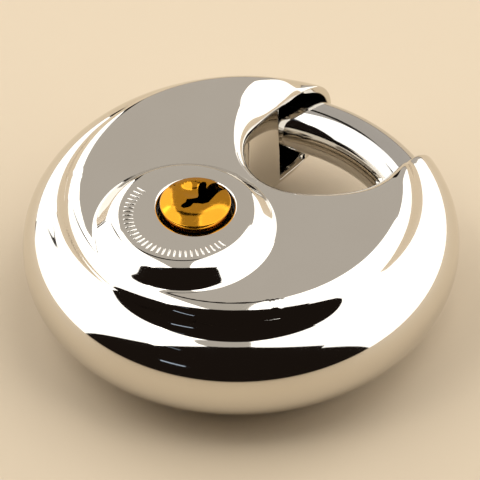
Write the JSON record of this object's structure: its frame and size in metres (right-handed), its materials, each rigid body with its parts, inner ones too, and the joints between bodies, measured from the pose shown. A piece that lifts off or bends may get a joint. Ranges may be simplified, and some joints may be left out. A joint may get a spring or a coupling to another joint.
{
  "type": "discus padlock",
  "caption": "Round stainless padlock with a hooded curved shackle that turns inside the rim, a raised boss and a brass key plug.",
  "frame": {"origin": "where the shackle's turning axis meets the flat back face", "axes": "+Z out of the front face with the keyway, +Y from the disc's axis towards the shackle opening, +X completes a right-handed frame"},
  "size_m": [0.0699, 0.0685, 0.0281],
  "materials": {
    "polished_stainless": "mirror-polished pressed stainless steel",
    "shackle_steel": "polished round stainless bar",
    "brass_plug": "turned and polished brass",
    "brass_pins": "turned brass",
    "housing_brass": "machined brass, dull",
    "plain_steel": "stamped steel, oiled",
    "hard_steel": "hardened steel, dark",
    "spring_wire": "drawn spring wire"
  },
  "bodies": {
    "lock_body": {"front_shell": "polished_stainless", "back_shell": "polished_stainless", "floor_plate": "plain_steel", "lock_housing": "housing_brass", "housing_screw_1": "plain_steel", "housing_screw_2": "plain_steel", "drill_guard": "hard_steel", "pivot_stud": "plain_steel", "pivot_spacer": "housing_brass", "pivot_clip": "hard_steel", "spring_cover": "housing_brass", "driver_spring_1": "spring_wire", "driver_spring_2": "spring_wire", "driver_spring_3": "spring_wire", "driver_spring_4": "spring_wire", "driver_spring_5": "spring_wire"},
    "shackle_body": {"shackle": "shackle_steel", "shackle_carrier": "plain_steel", "drive_finger": "hard_steel"},
    "plug_body": {"key_plug": "brass_plug", "plug_clip": "hard_steel", "drive_pinion": "plain_steel", "pinion_screw": "plain_steel"},
    "key_pin_body_1": {"key_pin_1": "brass_pins"},
    "driver_body_1": {"driver_pin_1": "plain_steel"},
    "key_pin_body_2": {"key_pin_2": "brass_pins"},
    "driver_body_2": {"driver_pin_2": "plain_steel"},
    "key_pin_body_3": {"key_pin_3": "brass_pins"},
    "driver_body_3": {"driver_pin_3": "plain_steel"},
    "key_pin_body_4": {"key_pin_4": "brass_pins"},
    "driver_body_4": {"driver_pin_4": "plain_steel"},
    "key_pin_body_5": {"key_pin_5": "brass_pins"},
    "driver_body_5": {"driver_pin_5": "plain_steel"}
  },
  "joints": [
    {"name": "shackle_turn", "type": "hinge", "parent": "lock_body", "child": "shackle_body", "pos_m": [0, 0, 0.01185], "axis": [0, 0, 1], "range_deg": [0, 62]},
    {"name": "plug_turn", "type": "hinge", "parent": "lock_body", "child": "plug_body", "pos_m": [0, -0.0095, 0.01185], "axis": [0, 0, 1], "range_deg": [-124.5, 0.5]},
    {"name": "driver_slide_1", "type": "slide", "parent": "lock_body", "child": "driver_body_1", "axis": [0, -1, 0], "range_m": [0, 0.0012], "stiffness_N_per_m": 120, "springref_m": -0.0008, "deforming": ["driver_spring_1"]},
    {"name": "key_pin_slide_1", "type": "slide", "parent": "plug_body", "child": "key_pin_body_1", "axis": [0, 1, 0], "range_m": [0, 0.0012]},
    {"name": "driver_slide_2", "type": "slide", "parent": "lock_body", "child": "driver_body_2", "axis": [0, -1, 0], "range_m": [0, 0.0012], "stiffness_N_per_m": 120, "springref_m": -0.0008, "deforming": ["driver_spring_2"]},
    {"name": "key_pin_slide_2", "type": "slide", "parent": "plug_body", "child": "key_pin_body_2", "axis": [0, 1, 0], "range_m": [0, 0.0012]},
    {"name": "driver_slide_3", "type": "slide", "parent": "lock_body", "child": "driver_body_3", "axis": [0, -1, 0], "range_m": [0, 0.0012], "stiffness_N_per_m": 120, "springref_m": -0.0008, "deforming": ["driver_spring_3"]},
    {"name": "key_pin_slide_3", "type": "slide", "parent": "plug_body", "child": "key_pin_body_3", "axis": [0, 1, 0], "range_m": [0, 0.0012]},
    {"name": "driver_slide_4", "type": "slide", "parent": "lock_body", "child": "driver_body_4", "axis": [0, -1, 0], "range_m": [0, 0.0012], "stiffness_N_per_m": 120, "springref_m": -0.0008, "deforming": ["driver_spring_4"]},
    {"name": "key_pin_slide_4", "type": "slide", "parent": "plug_body", "child": "key_pin_body_4", "axis": [0, 1, 0], "range_m": [0, 0.0012]},
    {"name": "driver_slide_5", "type": "slide", "parent": "lock_body", "child": "driver_body_5", "axis": [0, -1, 0], "range_m": [0, 0.0012], "stiffness_N_per_m": 120, "springref_m": -0.0008, "deforming": ["driver_spring_5"]},
    {"name": "key_pin_slide_5", "type": "slide", "parent": "plug_body", "child": "key_pin_body_5", "axis": [0, 1, 0], "range_m": [0, 0.0012]}
  ],
  "couplings": [
    {"joint": "plug_turn", "follows": "shackle_turn", "ratio": -2}
  ]
}
